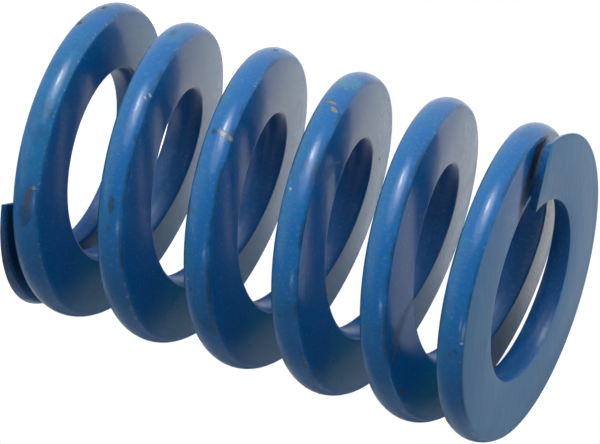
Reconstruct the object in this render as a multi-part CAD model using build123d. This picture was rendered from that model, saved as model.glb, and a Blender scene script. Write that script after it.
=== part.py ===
from build123d import *
import os
from math import cos, pi, radians, sin

# Die spring: one bar of keystone wire wound right-handed round the Z axis, with both ends
# closed and ground flat. It stands on its lower end. Lengths are in millimetres, angles in
# degrees, and places along the wire are counted in turns from its lower end.

# the pocket, the guide rod and the free height that the spring is made for
outside_diameter = 15.7
inside_diameter = 9.0
free_length = 25.0

# section of the coiled wire: coiling swells its inner edge and thins its outer edge
outer_edge_thickness = 1.41
inner_edge_thickness = 1.80
outer_crown = 0.26
inner_crown = 0.28
outer_corner_radius = 0.16
inner_corner_radius = 0.19

# winding, from the lower end to the upper end: the upper end coil is pressed nearly flat, and
# its tip climbs again over the coil below it
total_turns = 6.785
start_angle = 26.2
lower_closed_turns = 0.77
lower_opening_turns = 0.40
upper_closed_turns = 0.79
upper_opening_turns = 0.32
upper_flat_pitch = 1.13
tip_climb_turns = 0.22
tip_bend_turns = 0.22
lower_tip_gap = 0.04
upper_tip_gap = 0.06

# ground ends: thickness left at each tip's inner edge, and the angle round the axis by which
# the blade that cut the bar left the inner corner of each cut ahead of the outer one
lower_tip_thickness = 0.32
upper_tip_thickness = 0.40
blade_skew = 12.0

points_per_turn = 24

# sizes that follow from those above
outer_radius = outside_diameter / 2
inner_radius = inside_diameter / 2
wire_width = outer_radius - inner_radius
path_radius = (outer_radius + inner_radius) / 2
blade_turns = blade_skew / 360


def opened(turns_past, opening_turns):
    """Turns' worth of the next pitch gained past a point, as it takes over by a smooth S-curve."""
    if turns_past <= 0:
        return 0
    if turns_past >= opening_turns:
        return turns_past - opening_turns / 2
    share = turns_past / opening_turns
    return opening_turns * (share**3 - share**4 / 2)


# turns' worth of each pitch: in the whole wire, and of open pitch in the last turn at each end
lower_turns = lower_closed_turns + lower_opening_turns / 2
climb_turns = tip_climb_turns + tip_bend_turns / 2
flat_turns = upper_closed_turns + upper_opening_turns / 2 - climb_turns
open_turns = total_turns - lower_turns - flat_turns - climb_turns
lower_opened = opened(1 - lower_closed_turns, lower_opening_turns)
upper_opened = opened(1 - upper_closed_turns, upper_opening_turns)
flat_in_last_turn = 1 - upper_opened - climb_turns

# The last turn at each end rises by the wire's own thickness and the gap left under the tip,
# and the open coils share the height that is left.
lower_rise = inner_edge_thickness + lower_tip_gap
upper_rise = inner_edge_thickness + upper_tip_gap
wound_height = free_length + inner_edge_thickness - lower_tip_thickness - upper_tip_thickness
lower_share = lower_turns / (1 - lower_opened)
closed_height = (
    lower_rise * lower_share + upper_rise + upper_flat_pitch * (flat_turns - flat_in_last_turn)
)
open_pitch = (wound_height - closed_height) / (
    open_turns - upper_opened - lower_share * lower_opened
)
lower_pitch = (lower_rise - open_pitch * lower_opened) / (1 - lower_opened)
climb_pitch = (
    upper_rise - open_pitch * upper_opened - upper_flat_pitch * flat_in_last_turn
) / climb_turns
start_height = lower_tip_thickness - inner_edge_thickness / 2


def wire_height(turn):
    """Height of the wire's centre line at a place along it."""
    past_open_coils = turn - (total_turns - upper_closed_turns - upper_opening_turns)
    past_flat_coil = turn - (total_turns - tip_climb_turns - tip_bend_turns)
    return (
        start_height
        + lower_pitch * turn
        + (open_pitch - lower_pitch) * opened(turn - lower_closed_turns, lower_opening_turns)
        - (open_pitch - upper_flat_pitch) * opened(past_open_coils, upper_opening_turns)
        + (climb_pitch - upper_flat_pitch) * opened(past_flat_coil, tip_bend_turns)
    )


def radial(turn):
    """Unit vector from the axis towards the wire at a place along it."""
    angle = radians(start_angle) + 2 * pi * turn
    return Vector(cos(angle), sin(angle), 0)


def wire_path(first_turn, last_turn):
    """Centre line of a stretch of the wire."""
    steps = max(4, round((last_turn - first_turn) * points_per_turn))
    turns = [first_turn + (last_turn - first_turn) * step / steps for step in range(steps + 1)]
    return Spline([radial(turn) * path_radius + Vector(0, 0, wire_height(turn)) for turn in turns])


def section_plane(path, turn):
    """Plane square to the start of a path, with its X pointing away from the spring's axis."""
    return Plane(origin=path @ 0, x_dir=radial(turn), z_dir=path % 0)


def wire_section():
    """Keystone section with its outer side to +X: crowned sides joined by flat flanks."""
    outer_x = wire_width / 2 - outer_crown
    inner_x = inner_crown - wire_width / 2
    outer_y = outer_edge_thickness / 2
    inner_y = inner_edge_thickness / 2
    with BuildSketch() as section:
        with BuildLine():
            Line((inner_x, inner_y), (outer_x, outer_y))
            ThreePointArc((outer_x, outer_y), (wire_width / 2, 0), (outer_x, -outer_y))
            Line((outer_x, -outer_y), (inner_x, -inner_y))
            ThreePointArc((inner_x, -inner_y), (-wire_width / 2, 0), (inner_x, inner_y))
        make_face()
        corners = section.vertices().sort_by(Axis.X)
        fillet(corners[:2], inner_corner_radius)
        fillet(corners[2:], outer_corner_radius)
    return section.sketch


def swept(section, first_turn, last_turn):
    """A section carried along the wire's centre line."""
    path = wire_path(first_turn, last_turn)
    return sweep(section_plane(path, first_turn) * section, path, is_frenet=True)


def cut_off(outer_corner_turn, tip_gap, side):
    """What the skewed blade takes off an end. Side is 1 at the upper end and -1 at the lower."""
    inner_corner_turn = outer_corner_turn + blade_turns
    overrun = blade_turns / 8
    slug_section = Rectangle(wire_width * 1.1, inner_edge_thickness + tip_gap)
    slug = swept(slug_section, outer_corner_turn - overrun, inner_corner_turn + overrun)
    outer_corner = radial(outer_corner_turn) * outer_radius
    inner_corner = radial(inner_corner_turn) * inner_radius
    facing = Vector(0, 0, side).cross(outer_corner - inner_corner)
    return split(slug, bisect_by=Plane(origin=outer_corner, z_dir=facing), keep=Keep.TOP)


wire = swept(wire_section(), 0, total_turns)
wire -= cut_off(0, lower_tip_gap, -1)
wire -= cut_off(total_turns - blade_turns, upper_tip_gap, 1)

# both ends are ground square to the axis, down to the free length
grinding_space = Cylinder(
    outside_diameter, free_length, align=(Align.CENTER, Align.CENTER, Align.MIN)
)
spring_wire = wire & grinding_space

os.makedirs("parts", exist_ok=True)
export_step(spring_wire, "parts/spring_wire.step")

clear_gap = open_pitch - inner_edge_thickness
print(f"open pitch {open_pitch:.3f}, closed pitch {lower_pitch:.3f}, climbing {climb_pitch:.3f}")
print(f"gap between open coils {clear_gap:.3f}, wire length {wire_path(0, total_turns).length:.1f}")
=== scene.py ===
from math import atan, atan2, cos, hypot, pi, radians, sin, tan

import bmesh
import bpy
from mathutils import Matrix, Vector


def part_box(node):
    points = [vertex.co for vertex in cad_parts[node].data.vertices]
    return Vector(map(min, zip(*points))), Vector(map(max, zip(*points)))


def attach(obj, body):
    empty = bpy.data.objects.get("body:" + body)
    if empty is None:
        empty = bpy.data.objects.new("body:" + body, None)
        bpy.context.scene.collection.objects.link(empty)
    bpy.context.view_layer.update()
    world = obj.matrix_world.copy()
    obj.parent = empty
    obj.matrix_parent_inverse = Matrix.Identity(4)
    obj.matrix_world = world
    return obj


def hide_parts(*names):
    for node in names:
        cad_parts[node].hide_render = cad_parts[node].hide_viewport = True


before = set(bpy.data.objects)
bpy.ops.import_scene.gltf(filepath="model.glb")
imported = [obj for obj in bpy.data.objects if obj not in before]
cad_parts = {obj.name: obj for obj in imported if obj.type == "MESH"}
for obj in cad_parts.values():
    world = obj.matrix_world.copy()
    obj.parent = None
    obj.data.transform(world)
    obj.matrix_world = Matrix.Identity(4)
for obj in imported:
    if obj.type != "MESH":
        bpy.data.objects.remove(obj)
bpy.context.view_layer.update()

# Die spring: one keystone wire wound right-handed round Z, both ends closed and ground flat,
# painted blue. Lengths are in metres, and places along the wire are counted in turns from
# its lower end.

mm = 0.001

# ---- the spring's shape

lowCorner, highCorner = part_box("spring_wire")

spring = {
    "outerRadius": (highCorner.x - lowCorner.x) / 2,
    "innerRadius": 4.5 * mm,
    "length": highCorner.z,
    "outerEdge": 1.41 * mm,      # wire thickness at its outer and inner edges
    "innerEdge": 1.80 * mm,
    "outerCrown": 0.26 * mm,     # how far the two sides bulge
    "innerCrown": 0.28 * mm,
    "outerCorner": 0.16 * mm,    # corner radii
    "innerCorner": 0.19 * mm,
    "turns": 6.785,
    "startAngle": 26.2,          # degrees
    "lowerClosed": 0.77,         # turns wound closed, then turns in which the pitch opens
    "lowerOpening": 0.40,
    "upperClosed": 0.79,
    "upperOpening": 0.32,
    "upperFlatPitch": 1.13 * mm, # of the upper closed coil, until its tip climbs again
    "tipClimb": 0.22,
    "tipBend": 0.22,
    "lowerGap": 0.04 * mm,       # under each tip
    "upperGap": 0.06 * mm,
    "lowerTip": 0.32 * mm,       # what grinding leaves of each tip's inner edge
    "upperTip": 0.40 * mm,
    "bladeSkew": 12.0,           # degrees round the axis from a cut's outer to its inner corner
    "burr": 0.035 * mm,          # the small round on ground and cut edges
    "burrFrom": 35,              # degrees: edges sharper than this get it
    "smoothUpTo": 40,            # degrees: edges sharper than this stay crisp
    "doubles": 0.001 * mm,       # vertices nearer than this are merged
    "stepsPerTurn": 96,
    "crownCuts": 9,
    "cornerSegments": 4,
    "burrSegments": 2,
}


def opened(turnsPast, openingTurns):  # turns' worth of open pitch gained past a point
    if turnsPast <= 0:
        return 0
    if turnsPast >= openingTurns:
        return turnsPast - openingTurns / 2
    share = turnsPast / openingTurns
    return openingTurns * (share**3 - share**4 / 2)


def windingHeights(s):  # height of the wire's centre line, as a function of turns
    lowerTurns = s["lowerClosed"] + s["lowerOpening"] / 2
    climbTurns = s["tipClimb"] + s["tipBend"] / 2
    flatTurns = s["upperClosed"] + s["upperOpening"] / 2 - climbTurns
    openTurns = s["turns"] - lowerTurns - flatTurns - climbTurns
    lowerLast = opened(1 - s["lowerClosed"], s["lowerOpening"])  # open pitch in the last turns
    upperLast = opened(1 - s["upperClosed"], s["upperOpening"])
    flatLast = 1 - upperLast - climbTurns
    lowerRise = s["innerEdge"] + s["lowerGap"]  # over each end's last turn
    upperRise = s["innerEdge"] + s["upperGap"]
    lowerShare = lowerTurns / (1 - lowerLast)
    flatPitch = s["upperFlatPitch"]
    closedHeight = lowerRise * lowerShare + upperRise + flatPitch * (flatTurns - flatLast)
    woundHeight = s["length"] + s["innerEdge"] - s["lowerTip"] - s["upperTip"]
    openPitch = (woundHeight - closedHeight) / (openTurns - upperLast - lowerShare * lowerLast)
    lowerPitch = (lowerRise - openPitch * lowerLast) / (1 - lowerLast)
    climbPitch = (upperRise - openPitch * upperLast - flatPitch * flatLast) / climbTurns

    def heightAt(turn):
        pastOpen = turn - (s["turns"] - s["upperClosed"] - s["upperOpening"])
        pastFlat = turn - (s["turns"] - s["tipClimb"] - s["tipBend"])
        return (
            s["lowerTip"] - s["innerEdge"] / 2 + lowerPitch * turn
            + (openPitch - lowerPitch) * opened(turn - s["lowerClosed"], s["lowerOpening"])
            - (openPitch - flatPitch) * opened(pastOpen, s["upperOpening"])
            + (climbPitch - flatPitch) * opened(pastFlat, s["tipBend"])
        )

    return heightAt


def radial(s, turn):
    angle = radians(s["startAngle"]) + 2 * pi * turn
    return Vector((cos(angle), sin(angle), 0))


def crownSide(bm, side, bulge, cuts):  # turns one straight side into a shallow arc
    half = side.calc_length() / 2
    radius = (half**2 + bulge**2) / (2 * abs(bulge))
    parts = bmesh.ops.subdivide_edges(bm, edges=[side], cuts=cuts)
    for vert in [v for v in parts["geom_inner"] if isinstance(v, bmesh.types.BMVert)]:
        drop = radius - (radius**2 - vert.co.z**2) ** 0.5
        vert.co.x += (abs(bulge) - drop) * (1 if bulge > 0 else -1)


def roundCorners(bm, cornerX, thickness, bulge, radius, segments):  # the two corners of a side
    crownAngle = 2 * atan(2 * bulge / thickness)
    corners = [v for v in bm.verts if hypot(v.co.x - cornerX, abs(v.co.z) - thickness / 2) < 1e-9]
    bmesh.ops.bevel(
        bm, geom=corners, offset=radius * tan((pi / 2 - crownAngle) / 2), offset_type="OFFSET",
        affect="VERTICES", segments=segments, profile=0.5, material=-1,
    )


def wireSection(bm, s):  # keystone section, standing on the X axis, its outer side to +X
    outerX = s["outerRadius"] - s["outerCrown"]
    innerX = s["innerRadius"] + s["innerCrown"]
    ring = [
        bm.verts.new((innerX, 0, -s["innerEdge"] / 2)),
        bm.verts.new((outerX, 0, -s["outerEdge"] / 2)),
        bm.verts.new((outerX, 0, s["outerEdge"] / 2)),
        bm.verts.new((innerX, 0, s["innerEdge"] / 2)),
    ]
    bm.faces.new(ring)
    outerSide = bm.edges.get(ring[1:3])
    innerSide = bm.edges.get((ring[3], ring[0]))
    crownSide(bm, outerSide, s["outerCrown"], s["crownCuts"])
    crownSide(bm, innerSide, -s["innerCrown"], s["crownCuts"])
    segments = s["cornerSegments"]
    roundCorners(bm, outerX, s["outerEdge"], s["outerCrown"], s["outerCorner"], segments)
    roundCorners(bm, innerX, s["innerEdge"], s["innerCrown"], s["innerCorner"], segments)


def windWire(bm, s, heightAt):  # spins the section up the helix
    start = Matrix.Rotation(radians(s["startAngle"]), 3, "Z")
    bmesh.ops.rotate(bm, cent=(0, 0, 0), matrix=start, verts=bm.verts[:])
    bmesh.ops.translate(bm, vec=(0, 0, heightAt(0)), verts=bm.verts[:])
    bends = [  # where the pitch changes
        (s["lowerClosed"], s["lowerClosed"] + s["lowerOpening"]),
        (s["turns"] - s["upperClosed"] - s["upperOpening"], s["turns"] - s["upperClosed"]),
        (s["turns"] - s["tipClimb"] - s["tipBend"], s["turns"] - s["tipClimb"]),
    ]
    stretches = []  # from turn to turn, and whether the pitch stays the same
    reached = 0
    for first, last in bends:
        stretches += [(reached, first, True), (first, last, False)]
        reached = last
    stretches.append((reached, s["turns"], True))
    ring = bm.verts[:] + bm.edges[:] + bm.faces[:]
    for first, last, steady in stretches:
        steps = round((last - first) * s["stepsPerTurn"])
        pieces = 1 if steady else steps
        for piece in range(pieces):
            begin = first + (last - first) * piece / pieces
            end = first + (last - first) * (piece + 1) / pieces
            each = steps // pieces
            ring = bmesh.ops.spin(
                bm, geom=ring, cent=(0, 0, 0), axis=(0, 0, 1), angle=2 * pi * (end - begin),
                dvec=(0, 0, (heightAt(end) - heightAt(begin)) / each), steps=each,
                use_merge=False,
            )["geom_last"]


def countTurns(bm, s, heightAt, turnLayer, liftLayer):  # each vertex's place along the wire
    for vert in bm.verts:
        angle = atan2(vert.co.y, vert.co.x) / (2 * pi) - s["startAngle"] / 360
        laps = [angle % 1 + lap for lap in range(-1, round(s["turns"]) + 1)]
        height = vert.co.z - vert[liftLayer]
        vert[turnLayer] = min(laps, key=lambda turn: abs(heightAt(turn) - height))


def cutAndCap(bm, geom, point, normal):  # cuts off what lies on the normal's side
    cut = bmesh.ops.bisect_plane(
        bm, geom=geom, plane_co=point, plane_no=normal, dist=1e-9, clear_outer=True
    )["geom_cut"]
    rim = [edge for edge in cut if isinstance(edge, bmesh.types.BMEdge)]
    bmesh.ops.edgeloop_fill(bm, edges=rim)


def bladeCut(bm, s, turnLayer, outerTurn, side):  # the skewed cut at an end of the bar
    skewTurns = s["bladeSkew"] / 360
    outerCorner = radial(s, outerTurn) * s["outerRadius"]
    innerCorner = radial(s, outerTurn + skewTurns) * s["innerRadius"]
    normal = Vector((0, 0, side)).cross(outerCorner - innerCorner)
    near = [v for v in bm.verts if side * (v[turnLayer] - outerTurn) > -1.5 * skewTurns]
    chosen = set(near)  # the end of the wire only, as the plane also meets other coils
    edges = [e for e in bm.edges if chosen.issuperset(e.verts)]
    faces = [f for f in bm.faces if chosen.issuperset(f.verts)]
    cutAndCap(bm, near + edges + faces, outerCorner, normal)


def makeSpring(s):
    heightAt = windingHeights(s)
    bm = bmesh.new()
    turnLayer = bm.verts.layers.float.new("turn")
    liftLayer = bm.verts.layers.float.new("lift")
    wireSection(bm, s)
    for vert in bm.verts:
        vert[liftLayer] = vert.co.z
    windWire(bm, s, heightAt)
    countTurns(bm, s, heightAt, turnLayer, liftLayer)
    skewTurns = s["bladeSkew"] / 360
    bladeCut(bm, s, turnLayer, 0, -1)
    bladeCut(bm, s, turnLayer, s["turns"] - skewTurns, 1)
    for height, side in ((0, -1), (s["length"], 1)):
        everything = bm.verts[:] + bm.edges[:] + bm.faces[:]
        cutAndCap(bm, everything, (0, 0, height), (0, 0, side))
    bmesh.ops.remove_doubles(bm, verts=bm.verts[:], dist=s["doubles"])
    bmesh.ops.recalc_face_normals(bm, faces=bm.faces[:])
    burrEdges = [
        e for e in bm.edges
        if len(e.link_faces) == 2 and e.calc_face_angle() > radians(s["burrFrom"])
    ]
    bmesh.ops.bevel(
        bm, geom=burrEdges, offset=s["burr"], offset_type="OFFSET", affect="EDGES",
        segments=s["burrSegments"], profile=0.5, material=-1, clamp_overlap=True,
    )
    bmesh.ops.triangulate(bm, faces=[f for f in bm.faces if len(f.verts) > 8])
    mesh = bpy.data.meshes.new("springWire")
    bm.to_mesh(mesh)
    bm.free()
    piece = bpy.data.objects.new("springWire", mesh)
    bpy.context.collection.objects.link(piece)
    mesh.shade_smooth()
    mesh.set_sharp_from_angle(angle=radians(s["smoothUpTo"]))
    triangles = sum(len(p.vertices) - 2 for p in mesh.polygons)
    print(f"spring wound, {triangles} triangles")
    return piece


# ---- shader maths as expressions

class Shade:
    def __init__(self, tree, socket):
        self.tree = tree
        self.socket = socket

    def node(self, kind, settings, inputs, output=0):  # settings first, then the sockets
        made = self.tree.nodes.new(kind)
        for name, value in settings.items():
            setattr(made, name, value)
        for name, value in inputs.items():
            if isinstance(value, Shade):
                self.tree.links.new(value.socket, made.inputs[name])
            else:
                made.inputs[name].default_value = value
        return Shade(self.tree, made.outputs[output] if made.outputs else None)

    def maths(self, operation, *values):
        return self.node("ShaderNodeMath", {"operation": operation}, dict(enumerate(values)))

    def __add__(self, other):
        return self.maths("ADD", self, other)

    __radd__ = __add__

    def __sub__(self, other):
        return self.maths("SUBTRACT", self, other)

    def __rsub__(self, other):
        return self.maths("SUBTRACT", other, self)

    def __mul__(self, other):
        return self.maths("MULTIPLY", self, other)

    __rmul__ = __mul__

    def __truediv__(self, other):
        return self.maths("DIVIDE", self, other)

    def __pow__(self, power):
        return self.maths("POWER", self, power)

    def either(self, other):  # the larger of two masks
        return self.maths("MAXIMUM", self, other)

    def fade(self, start, end):  # smooth 0 to 1 as the value goes from start to end
        settings = {"interpolation_type": "SMOOTHSTEP"}
        inputs = {"Value": self, "From Min": start, "From Max": end}
        return self.node("ShaderNodeMapRange", settings, inputs)

    def mixed(self, other, amount):  # colours, by a mask
        settings = {"data_type": "RGBA", "blend_type": "MIX"}
        return self.node("ShaderNodeMix", settings, {0: amount, 6: self, 7: other}, 2)


# ---- paint, what has worn it, and painted shade and reflection

paint = {
    "blue": (0.004, 0.134, 0.405, 1),
    "tealBlue": (0.015, 0.175, 0.35, 1),   # a cast in patches, most on the lower side of the rims
    "deepBlue": (0.003, 0.115, 0.36, 1),   # where the paint lies thicker
    "flatShadeBlue": (0.003, 0.093, 0.305, 1), # painted shade: a darker blue on the flats
    "boreShadeBlue": (0.003, 0.080, 0.255, 1),  # painted shade: a darker blue on the inner side of the wire
    "farFlatSheenBlue": (0.006, 0.170, 0.33, 1),  # painted reflection: a lighter, greyer blue on the flats of the far side
    "groundBlue": (0.004, 0.124, 0.305, 1),
    "groundGroove": (0.014, 0.172, 0.36, 1),
    "paleSpeck": (0.13, 0.30, 0.42, 1),    # thin paint, rubbed along the creases
    "darkPatchBlue": (0.004, 0.045, 0.085, 1),     # darker, in patches on the rims and along the creases
    "roughness": 0.19,
    "groundRoughness": 0.36,
    "wheelAngle": -40.4,                   # degrees: the way the grinding wheel ran
    "grooveStretch": 14,                   # how much longer its grooves are than wide
    "lean": 0.09,                          # how far the flanks fall off outwards, as a slope
    "bump": 0.6,                           # strength of all the relief
    "markEdge": (1.35, 0.65),              # where a mark fades in, in half sizes from its middle
    # where each zone of paint begins, and where it is full
    "rimDepth": (0.55 * mm, 0.40 * mm),    # below the outer radius
    "boreDepth": (0.45 * mm, 0.25 * mm),   # outside the inner radius
    "farSide": (3.0 * mm, 0.0),          # along X
    "groundDepth": (0.03 * mm, 0.005 * mm),  # below the upper end
    "besideGround": (0.50 * mm, 0.15 * mm),  # the same for the flank next to the ground face
    "flankLift": (0.62 * mm, 0.70 * mm),   # above the wire's centre line
    "lowOnRim": (0.25 * mm, -0.55 * mm),   # the same, down to below it
    "creaseInset": 0.24 * mm,              # the creases' middle, below the outer radius
    "creaseLift": 0.64 * mm,               # and from the wire's centre line
    "creaseWidth": (0.16 * mm, 0.04 * mm),
}

# how high each noise stands in the relief, in mm
relief = {
    "grit": 0.0015,
    "peel": 0.010,
    "drawn": 0.006,
    "ragged": 0.002,
    "grain": 0.016,
    "pits": 0.03,                          # and how deep a chip goes
}

finishes = {
    "teal": {"colour": (0.045, 0.23, 0.36, 1), "roughness": 0.35},
    "dirt": {"colour": (0.008, 0.030, 0.045, 1), "roughness": 0.6},
    "wedgeShade": {"colour": (0.001, 0.006, 0.022, 1), "roughness": 0.5},  # painted shade, deep in the wedge at the tip
    "rust": {"colour": (0.075, 0.055, 0.045, 1), "roughness": 0.8},
    "tan": {"colour": (0.25, 0.22, 0.17, 1), "roughness": 0.7},
    "steel": {"colour": (0.46, 0.46, 0.45, 1), "roughness": 0.5},
}

# Each mark: finish, turn, height above the wire's centre line, size along the wire and across
# it, strength, and how far it runs along the wire as it goes across (sizes in mm). They lie on
# the rim, the outer side of the wire.
rimMarks = [
    ("dirt", 1.003, 0.10, 1.10, 0.60, 0.50, 0.0),
    ("rust", 0.986, 0.22, 1.50, 0.34, 0.72, -1.2),
    ("tan", 0.973, 0.46, 0.18, 0.20, 0.9, 0.0),
    ("rust", 0.779, -0.42, 0.55, 0.30, 0.9, 0.0),
    ("tan", 0.777, -0.36, 0.30, 0.14, 0.9, 0.0),
    ("rust", 0.739, -0.12, 0.45, 0.20, 0.8, 0.0),
    ("dirt", 1.966, 0.08, 0.84, 0.34, 0.75, 0.0),
    ("teal", 1.966, 0.08, 0.56, 0.21, 1.0, 0.0),
    ("teal", 1.757, 0.10, 1.50, 0.90, 0.35, 0.0),
    ("dirt", 1.752, -0.05, 0.90, 0.35, 0.35, 0.0),
    ("rust", 2.715, 0.20, 0.50, 0.22, 0.45, 0.0),
    ("dirt", 1.990, 0.02, 0.30, 0.20, 0.5, 0.0),
    ("steel", 1.852, 0.42, 0.12, 0.14, 0.55, 0.5),
    ("steel", 1.847, 0.60, 0.12, 0.16, 0.55, 0.5),
    ("tan", 2.866, 0.20, 0.30, 0.42, 0.55, 0.2),
    ("steel", 2.866, 0.22, 0.26, 0.24, 0.8, 0.0),
    ("tan", 2.867, 0.56, 0.26, 0.26, 0.9, 0.0),
    ("dirt", 2.867, -0.27, 0.30, 0.26, 0.75, 0.0),
    ("teal", 3.747, 0.05, 1.50, 1.20, 0.60, 0.0),
    ("tan", 3.763, 0.18, 0.24, 0.22, 0.55, 0.0),
    ("rust", 3.793, 0.02, 0.22, 0.66, 0.65, 0.1),
    ("tan", 3.793, 0.00, 0.15, 0.56, 0.9, 0.1),
    ("tan", 3.801, 0.24, 0.26, 0.36, 0.95, 0.2),
    ("dirt", 3.880, 0.56, 1.10, 0.24, 0.45, 0.0),
    ("dirt", 3.872, 0.10, 0.70, 0.50, 0.25, 0.0),
    ("steel", 3.900, -0.35, 0.15, 0.13, 0.8, 0.0),
    ("tan", 3.019, -0.39, 0.13, 0.12, 0.8, 0.0),
    ("dirt", 3.030, -0.24, 0.22, 0.14, 0.8, 0.0),
    ("dirt", 6.010, 0.36, 0.18, 0.20, 0.6, 0.0),
    ("dirt", 6.014, 0.09, 0.22, 0.16, 0.45, 0.0),
    ("steel", 6.000, 0.58, 0.13, 0.16, 0.7, 0.0),
    ("steel", 5.988, 0.60, 0.80, 0.14, 0.28, 0.0),
    ("rust", 0.060, 0.20, 5.00, 1.10, 0.45, 0.0),
]

# The same on the flats, with the distance from the axis in place of the height.
flatMarks = [
    # painted shade: the wedge under the upper tip, and the tip's cut face
    ("wedgeShade", 5.758, 6.60, 2.10, 5.20, 0.97, -1.7),
    ("wedgeShade", 6.778, 5.60, 1.60, 3.40, 0.60, 0.0),
    ("dirt", 0.060, 7.00, 7.00, 2.20, 0.75, 0.0),
    ("dirt", 3.870, 6.70, 0.80, 1.50, 0.25, 1.2),
    ("dirt", 3.850, 6.30, 0.30, 1.60, 0.25, 1.4),
    ("dirt", 3.545, 6.00, 0.22, 0.22, 0.9, 0.0),
    ("dirt", 5.022, 6.30, 0.80, 2.80, 0.40, 0.85),
    ("dirt", 5.040, 6.90, 1.60, 1.60, 0.35, 0.9),
    ("dirt", 5.060, 6.90, 0.40, 1.70, 0.35, 0.8),
    ("teal", 5.044, 6.70, 0.18, 1.10, 0.85, 0.97),
    ("teal", 5.022, 6.00, 0.14, 0.70, 0.5, 0.9),
    ("dirt", 5.055, 7.46, 0.34, 0.30, 0.95, 0.0),
    ("dirt", 5.101, 7.32, 0.90, 0.36, 0.65, 0.0),
    ("teal", 6.358, 4.86, 1.80, 0.50, 0.55, 0.0),
    ("steel", 6.112, 4.90, 0.14, 0.14, 0.8, 0.0),
    ("tan", 6.764, 6.90, 0.30, 0.22, 0.6, 0.0),
]


def markMask(mark, turn, across, wobble):  # an oval with a ragged edge
    atTurn, centre, length, width, strength, slant = mark[1:]
    off = across - centre * mm
    along = (turn - atTurn) * (2 * pi * spring["outerRadius"] / (length / 2 * mm))
    if slant:
        along = along - off * (slant / (length / 2 * mm))
    aside = off / (width / 2 * mm)
    distance = (along * along + aside * aside) ** 0.5 + wobble
    return distance.fade(*paint["markEdge"]) * strength


def allMarks(kind, turn, lift, reach, onRim, wobble):  # every mark of one finish, as one mask
    masks = [markMask(m, turn, lift, wobble) * onRim for m in rimMarks if m[0] == kind]
    masks += [markMask(m, turn, reach, wobble) * (1 - onRim) for m in flatMarks if m[0] == kind]
    whole = masks[0]
    for mask in masks[1:]:
        whole = whole.either(mask)
    return whole


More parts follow.
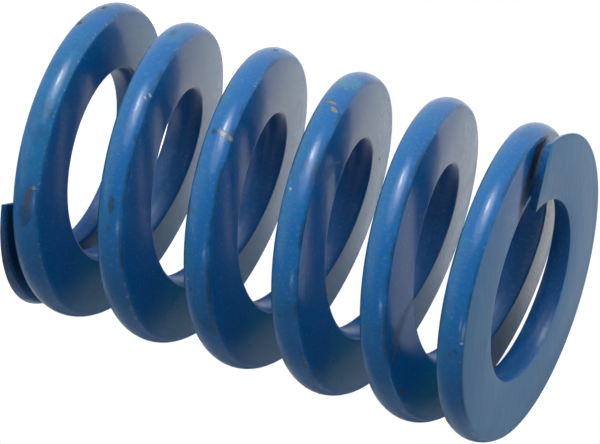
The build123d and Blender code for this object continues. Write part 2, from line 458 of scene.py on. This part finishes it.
def makePaint():
    material = bpy.data.materials.new("bluePaint")
    material.use_nodes = True
    tree = material.node_tree
    surface = tree.nodes["Principled BSDF"]
    start = Shade(tree, None)
    place = start.node("ShaderNodeTexCoord", {}, {}, "Object")
    turn = start.node("ShaderNodeAttribute", {"attribute_name": "turn"}, {}, "Fac")
    lift = start.node("ShaderNodeAttribute", {"attribute_name": "lift"}, {}, "Fac")
    x = start.node("ShaderNodeSeparateXYZ", {}, {"Vector": place}, "X")
    y = start.node("ShaderNodeSeparateXYZ", {}, {"Vector": place}, "Y")
    z = start.node("ShaderNodeSeparateXYZ", {}, {"Vector": place}, "Z")
    reach = (x * x + y * y) ** 0.5
    onRim = reach.fade(*[spring["outerRadius"] - depth for depth in paint["rimDepth"]])
    inBore = reach.fade(*[spring["innerRadius"] + depth for depth in paint["boreDepth"]])
    wireRun = turn * (2 * pi * spring["outerRadius"])
    alongWire = start.node("ShaderNodeCombineXYZ", {}, {"X": wireRun * 0.08, "Y": lift, "Z": reach})

    def noise(size, detail=2.0, roughness=0.5, where=place):
        inputs = {"Vector": where, "Scale": 1 / size, "Detail": detail, "Roughness": roughness}
        return start.node("ShaderNodeTexNoise", {}, inputs)

    cloud = noise(5 * mm)
    mottle = noise(1.3 * mm, 3.0)
    ragged = noise(0.22 * mm, 3.0, 0.6)
    drawn = noise(0.25 * mm, 2.0, 0.5, alongWire)
    peel = noise(0.55 * mm)
    grit = noise(0.16 * mm, 2.0)
    stain = noise(2.6 * mm, 4.0, 0.6)
    wobble = (ragged - 0.5) * 2.2

    # paint: patches, painted shade on the flats and in the bore, a painted reflection on the far
    # flats, a teal cast low on the rims, darker patches along the creases, and rubbed creases
    lowOnRim = lift.fade(*paint["lowOnRim"]) * onRim
    blueTone = {0: mottle.fade(0.42, 0.70) * 0.45, 6: paint["blue"], 7: paint["deepBlue"]}
    colour = start.node("ShaderNodeMix", {"data_type": "RGBA"}, blueTone, 2)
    # painted shade: the flats darker than the rims
    colour = colour.mixed(paint["flatShadeBlue"], (1 - onRim) * 0.9)
    # painted reflection: the flats on the far side lighter and greyer
    farFlatSheen = x.fade(*paint["farSide"]) * (1 - onRim) * (1 - inBore)
    colour = colour.mixed(paint["farFlatSheenBlue"], farFlatSheen)
    # painted shade: the bore darker still
    colour = colour.mixed(paint["boreShadeBlue"], inBore)
    cast = cloud.fade(0.50, 0.70) * 0.5
    cast = cast.either(lowOnRim * mottle.fade(0.30, 0.65) * 0.75)
    colour = colour.mixed(paint["tealBlue"], cast * onRim)
    aside = reach - (spring["outerRadius"] - paint["creaseInset"])
    above = lift.maths("ABSOLUTE", lift) - paint["creaseLift"]
    crease = ((aside * aside + above * above) ** 0.5).fade(*paint["creaseWidth"])
    colour = colour.mixed(paint["deepBlue"], ragged.fade(0.40, 0.75) * 0.5)
    colour = colour.mixed(paint["paleSpeck"], grit.fade(0.52, 0.80) * 0.26)
    colour = colour.mixed(paint["darkPatchBlue"], stain.fade(0.54, 0.74) * onRim * 0.45)
    # darker in patches along the creases
    creaseDarkening = crease * cloud.fade(0.62, 0.40) * mottle.fade(0.36, 0.60) * 0.75
    colour = colour.mixed(paint["darkPatchBlue"], creaseDarkening)
    rubbed = crease * ragged.fade(0.56, 0.66) * cloud.fade(0.46, 0.58) * 0.7
    colour = colour.mixed(paint["paleSpeck"], rubbed)

    gloss = paint["roughness"] + (mottle - 0.5) * 0.16 + (drawn - 0.5) * 0.10 + inBore * 0.14
    pits = 0.0
    for kind, finish in finishes.items():
        mask = allMarks(kind, turn, lift, reach, onRim, wobble)
        colour = colour.mixed(finish["colour"], mask)
        gloss = gloss + (finish["roughness"] - gloss) * mask
        if kind in ("rust", "tan", "steel"):
            pits = mask + pits

    # the ground ends keep the marks of the wheel under the paint
    turned = {"Vector": place, "Rotation": (0, 0, radians(paint["wheelAngle"]))}
    turned = start.node("ShaderNodeMapping", {}, turned)
    stretched = {"Vector": turned, "Scale": (paint["grooveStretch"], 1, 1)}
    grooves = start.node("ShaderNodeMapping", {}, stretched)
    grain = noise(1.6 * mm, 3.0, 0.6, grooves)
    lowerGround = z.fade(0.05 * mm, 0.0)
    upperGround = z.fade(*[spring["length"] - depth for depth in paint["groundDepth"]])
    besideIt = z.fade(*[spring["length"] - depth for depth in paint["besideGround"]])
    besideIt = besideIt * (1 - inBore) * lift.fade(*paint["flankLift"])  # the flank next to it
    ground = lowerGround.either(upperGround).either(besideIt)
    gloss = gloss + (paint["groundRoughness"] - gloss) * ground
    colour = colour.mixed(paint["groundBlue"], ground)
    colour = colour.mixed(paint["groundGroove"], ground * grain.fade(0.42, 0.68) * 0.75)

    height = grit * relief["grit"] + peel * relief["peel"]
    height = height + drawn * (1 - inBore) * relief["drawn"] + ragged * relief["ragged"]
    height = height - pits * relief["pits"] + grain * ground * relief["grain"]

    # the flanks fall off outwards a little more than the section's own taper
    settings = {"interpolation_type": "LINEAR"}
    inner, outer = spring["innerRadius"] + 0.3 * mm, spring["outerRadius"] - 0.3 * mm
    inputs = {"Value": reach, "From Min": inner, "From Max": outer, "To Max": (outer - inner) / mm}
    outwards = start.node("ShaderNodeMapRange", settings, inputs)
    height = height - outwards * paint["lean"]
    bump = {"Strength": paint["bump"], "Distance": mm, "Height": height}
    bump = start.node("ShaderNodeBump", {}, bump)
    tree.links.new(colour.socket, surface.inputs["Base Color"])
    tree.links.new(gloss.socket, surface.inputs["Roughness"])
    tree.links.new(bump.socket, surface.inputs["Normal"])
    print(f"paint made of {len(tree.nodes)} nodes")
    return material


# ---- floor, backdrop, light and camera

stage = {
    "floorSize": 1.2,
    "backdropSize": 2.4,
    "backdropGap": 0.05 * mm,          # between the spring and the backdrop
    "sheet": (0.70, 0.70, 0.70, 1),    # the backdrop's tone
    # painted shade: the backdrop's darker tone on the viewer's side
    "sheetShadeByViewer": (0.22, 0.22, 0.22, 1),
    "sheetFades": (-12 * mm, -4 * mm), # from the second tone to the first, going away
    "shadowShare": 0.22,               # how much of the floor's white a shadow can take
    "glowGivenUp": 0.15,               # how much of that share the floor's own glow gives up
    "overhead": (0.648, -0.762, 0),    # where the softbox hangs; the backdrop lies opposite
    "towardsViewer": (0.762, 0.648, 0),
    "darkSide": (0.63, 0.53, 0.57),    # the room is dark behind the viewer
    "room": 0.80,                      # level of the room's light
    "roomByViewer": 0.25,              # and on the dark side
    "roomBeyond": 0.50,                # what the far side gives, apart from its reflection
    "darkFades": (0.1, 0.8),           # cosines from that direction
    "beyondFades": (0.0, 0.7),
    "far": 0.80,                       # the lamps' distance
    "lamps": [                         # a softbox, bright in its middle, and a small window
        {"name": "softboxCore", "towards": (0.660, -0.751, 0.0), "size": 0.14, "level": 0.135},
        {"name": "softboxHalo", "towards": (0.678, -0.736, 0.1), "size": 0.40, "level": 0.21},
        {"name": "softboxEdge", "towards": (0.755, -0.671, 0.05), "size": 0.76, "level": 0.31},
        {"name": "window", "towards": (0.620, 0.653, 0.450), "size": 0.24, "level": 0.105},
    ],
}

camera = {
    "elevation": 20.58,        # degrees, from over +X
    "turnedBy": 106.64,        # degrees round the line of sight
    "distance": 287.7 * mm,
    "sensor": 36,
    "lens": 352.3,
    "shift": (0.0005, -0.0033),
    "clip": (0.01, 10),
}


def stagePlane(name, size, turned, place):  # a big flat square, marked as stage
    bm = bmesh.new()
    bmesh.ops.create_grid(bm, x_segments=1, y_segments=1, size=size / 2)
    bmesh.ops.transform(bm, matrix=Matrix.Translation(place) @ turned, verts=bm.verts)
    mesh = bpy.data.meshes.new(name)
    bm.to_mesh(mesh)
    bm.free()
    plane = bpy.data.objects.new(name, mesh)
    bpy.context.collection.objects.link(plane)
    material = bpy.data.materials.new(name)
    material.use_nodes = True
    material.node_tree.nodes.clear()
    mesh.materials.append(material)
    return Shade(material.node_tree, None)


def makeFloor():  # white to the camera, with the spring's shadow; lets all other light through
    start = stagePlane("paleFloor", stage["floorSize"], Matrix(), Vector())
    share = 2 * stage["shadowShare"]
    shadowed = start.node("ShaderNodeBsdfDiffuse", {}, {"Color": (share, share, share, 1)})
    glow = {"Strength": 1 - stage["shadowShare"] * stage["glowGivenUp"]}
    glow = start.node("ShaderNodeEmission", {}, glow)
    shown = start.node("ShaderNodeAddShader", {}, {0: shadowed, 1: glow})
    clear = start.node("ShaderNodeBsdfTransparent", {}, {})
    seen = start.node("ShaderNodeLightPath", {}, {}, "Is Camera Ray")
    under = start.node("ShaderNodeNewGeometry", {}, {}, "Backfacing")
    both = start.node("ShaderNodeMixShader", {}, {0: seen * (1 - under), 1: clear, 2: shown})
    start.node("ShaderNodeOutputMaterial", {}, {"Surface": both})


def makeBackdrop():  # white to the camera; to all other light a lit sheet, with painted shade on the viewer's side
    overhead = Vector(stage["overhead"]).normalized()
    turned = overhead.to_track_quat("Z", "Y").to_matrix().to_4x4()
    place = overhead * -(spring["outerRadius"] + stage["backdropGap"])
    start = stagePlane("whiteBackdrop", stage["backdropSize"], turned, place)
    place = start.node("ShaderNodeTexCoord", {}, {}, "Object")
    dot = {"operation": "DOT_PRODUCT"}
    beyond = {0: place, 1: [-c for c in stage["towardsViewer"]]}
    beyond = start.node("ShaderNodeVectorMath", dot, beyond, "Value").fade(*stage["sheetFades"])
    # painted shade: the sheet darker on the viewer's side
    tone = {0: beyond, 6: stage["sheetShadeByViewer"], 7: stage["sheet"]}
    tone = start.node("ShaderNodeMix", {"data_type": "RGBA", "blend_type": "MIX"}, tone, 2)
    sheet = start.node("ShaderNodeBsdfDiffuse", {}, {"Color": tone})
    white = start.node("ShaderNodeEmission", {}, {"Strength": 1.0})
    seen = start.node("ShaderNodeLightPath", {}, {}, "Is Camera Ray")
    front = start.node("ShaderNodeMixShader", {}, {0: seen, 1: sheet, 2: white})
    clear = start.node("ShaderNodeBsdfTransparent", {}, {})
    behind = start.node("ShaderNodeNewGeometry", {}, {}, "Backfacing")
    both = start.node("ShaderNodeMixShader", {}, {0: behind, 1: front, 2: clear})
    start.node("ShaderNodeOutputMaterial", {}, {"Surface": both})


def makeWorld():
    world = bpy.data.worlds.new("whiteRoom")
    bpy.context.scene.world = world
    world.use_nodes = True
    tree = world.node_tree
    tree.nodes.clear()
    start = Shade(tree, None)
    towards = start.node("ShaderNodeTexCoord", {}, {}, "Generated")
    dot = {"operation": "DOT_PRODUCT"}
    nearViewer = {0: towards, 1: stage["darkSide"]}
    nearViewer = start.node("ShaderNodeVectorMath", dot, nearViewer, "Value")
    nearViewer = nearViewer.fade(*stage["darkFades"])
    room = stage["room"] + (stage["roomByViewer"] - stage["room"]) * nearViewer
    awayFromViewer = {0: towards, 1: [-c for c in stage["towardsViewer"]]}
    away = start.node("ShaderNodeVectorMath", dot, awayFromViewer, "Value")
    away = away.fade(*stage["beyondFades"])
    mirrored = start.node("ShaderNodeLightPath", {}, {}, "Is Glossy Ray")
    room = room - (stage["room"] - stage["roomBeyond"]) * away * (1 - mirrored)
    seen = start.node("ShaderNodeLightPath", {}, {}, "Is Camera Ray")
    strength = room.either(seen)
    light = start.node("ShaderNodeBackground", {}, {"Color": (1, 1, 1, 1), "Strength": strength})
    start.node("ShaderNodeOutputWorld", {}, {"Surface": light})


def makeLamps():
    middle = Vector((0, 0, spring["length"] / 2))
    for lamp in stage["lamps"]:
        towards = Vector(lamp["towards"]).normalized()
        data = bpy.data.lights.new(lamp["name"], "AREA")
        data.shape = "DISK"
        data.size = lamp["size"]
        data.energy = lamp["level"] * (pi * stage["far"]) ** 2
        light = bpy.data.objects.new(lamp["name"], data)
        bpy.context.collection.objects.link(light)
        light.location = middle + towards * stage["far"]
        light.rotation_mode = "QUATERNION"
        light.rotation_quaternion = towards.to_track_quat("Z", "Y")


def makeCamera():
    elevation = radians(camera["elevation"])
    back = Vector((cos(elevation), 0, sin(elevation)))
    data = bpy.data.cameras.new("camera")
    data.sensor_width = camera["sensor"]
    data.lens = camera["lens"]
    data.shift_x, data.shift_y = camera["shift"]
    data.clip_start, data.clip_end = camera["clip"]
    viewer = bpy.data.objects.new("camera", data)
    bpy.context.collection.objects.link(viewer)
    turned = Matrix.Rotation(radians(camera["turnedBy"]), 4, "Z")
    upright = back.to_track_quat("Z", "Y").to_matrix().to_4x4()
    middle = Vector((0, 0, spring["length"] / 2))
    viewer.matrix_world = Matrix.Translation(middle + back * camera["distance"]) @ upright @ turned
    bpy.context.scene.camera = viewer


piece = makeSpring(spring)
piece.data.materials.append(makePaint())
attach(piece, "root")
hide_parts("spring_wire")
print("spring painted")

makeFloor()
makeBackdrop()
makeWorld()
makeLamps()
makeCamera()
bpy.context.scene.view_settings.view_transform = "Standard"
print("floor, light and camera set")
